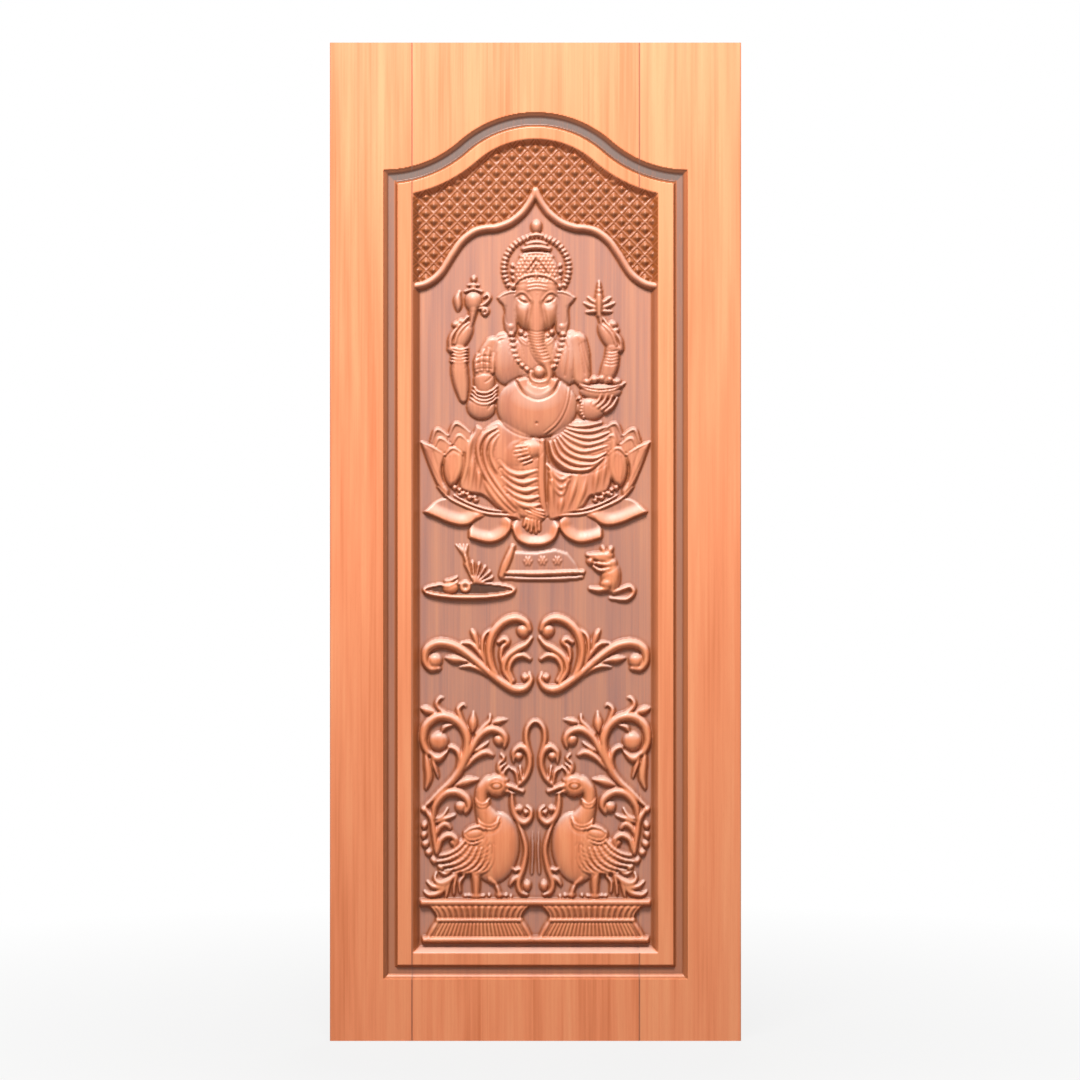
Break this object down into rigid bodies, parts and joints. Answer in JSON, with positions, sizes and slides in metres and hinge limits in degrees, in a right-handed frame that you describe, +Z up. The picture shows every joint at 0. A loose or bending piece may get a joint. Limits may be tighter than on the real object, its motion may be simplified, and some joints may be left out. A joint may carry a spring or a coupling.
{
  "type": "carved wooden door leaf",
  "caption": "Solid teak door leaf of edge-glued boards, with a moulded ogee-arched panel carved in relief: a seated elephant-headed figure on a lotus, scrolls, vines and geese on pedestals.",
  "frame": {"origin": "middle of the bottom edge, at half the thickness", "axes": "+X to the right when the carved face is looked at, +Y from the carved face to the back, +Z up; the carved face looks along -Y"},
  "size_m": [0.865, 0.04, 2.1],
  "materials": {
    "teak": "satin oil"
  },
  "bodies": {
    "root": {"left_edge_board": "teak", "left_panel_board": "teak", "centre_panel_board": "teak", "right_panel_board": "teak", "right_edge_board": "teak"}
  },
  "joints": []
}
